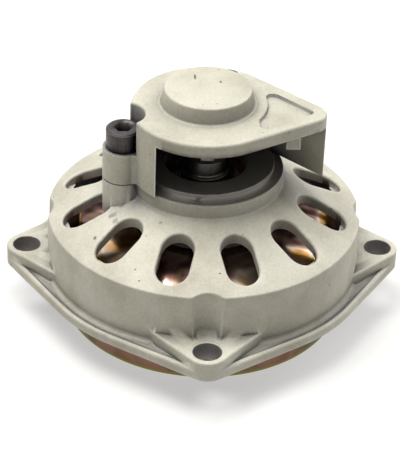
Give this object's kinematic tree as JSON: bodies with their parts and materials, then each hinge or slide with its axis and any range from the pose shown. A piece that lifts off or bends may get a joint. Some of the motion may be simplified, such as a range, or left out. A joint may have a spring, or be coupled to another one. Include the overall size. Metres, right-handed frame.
{
  "type": "clutch bell",
  "caption": "Clutch bell: a steel drum on a ball-bearing shaft in a slotted cast housing with mounting ears, under a cast cover that is open at the chain sprocket.",
  "frame": {"origin": "on the shaft's axis, in the plane of the drum's open rim, on which the part stands", "axes": "+Z along the shaft from the drum to the cover's cap; X and Y through the mounting ears, with the cover's tip towards +X and its open side towards -Y"},
  "size_m": [0.1224, 0.1224, 0.0754],
  "materials": {
    "cast_aluminium": "bead-blasted casting",
    "zinc_plate": "yellow zinc plate",
    "turned_steel": "turned, oiled",
    "bearing_steel": "ground",
    "black_steel": "black oxide",
    "cage_steel": "pressed",
    "seal_rubber": "moulded"
  },
  "bodies": {
    "housing": {"housing": "cast_aluminium", "sprocket_cover": "cast_aluminium", "cover_screws": "black_steel", "bearing_circlip": "black_steel", "lower_bearing_outer_ring": "bearing_steel", "lower_bearing_top_seal": "seal_rubber", "lower_bearing_bottom_seal": "seal_rubber", "upper_bearing_outer_ring": "bearing_steel", "upper_bearing_top_shield": "cage_steel", "upper_bearing_bottom_shield": "cage_steel"},
    "drum": {"clutch_drum": "zinc_plate", "drum_shaft": "turned_steel", "hub_rivets": "turned_steel", "drive_sprocket": "turned_steel", "shaft_circlip": "black_steel", "lower_bearing_inner_ring": "bearing_steel", "upper_bearing_inner_ring": "bearing_steel"},
    "lower_cage": {"lower_bearing_cage": "cage_steel", "lower_bearing_balls": "bearing_steel"},
    "upper_cage": {"upper_bearing_cage": "cage_steel", "upper_bearing_balls": "bearing_steel"}
  },
  "joints": [
    {"name": "drum_spin", "type": "hinge", "parent": "housing", "child": "drum", "pos_m": [0, 0, 0.0404], "axis": [0, 0, 1], "continuous": true},
    {"name": "lower_cage_spin", "type": "hinge", "parent": "housing", "child": "lower_cage", "pos_m": [0, 0, 0.0404], "axis": [0, 0, 1], "continuous": true},
    {"name": "upper_cage_spin", "type": "hinge", "parent": "housing", "child": "upper_cage", "pos_m": [0, 0, 0.069], "axis": [0, 0, 1], "continuous": true}
  ],
  "couplings": [
    {"joint": "lower_cage_spin", "follows": "drum_spin", "ratio": 0.381},
    {"joint": "upper_cage_spin", "follows": "drum_spin", "ratio": 0.40078}
  ]
}
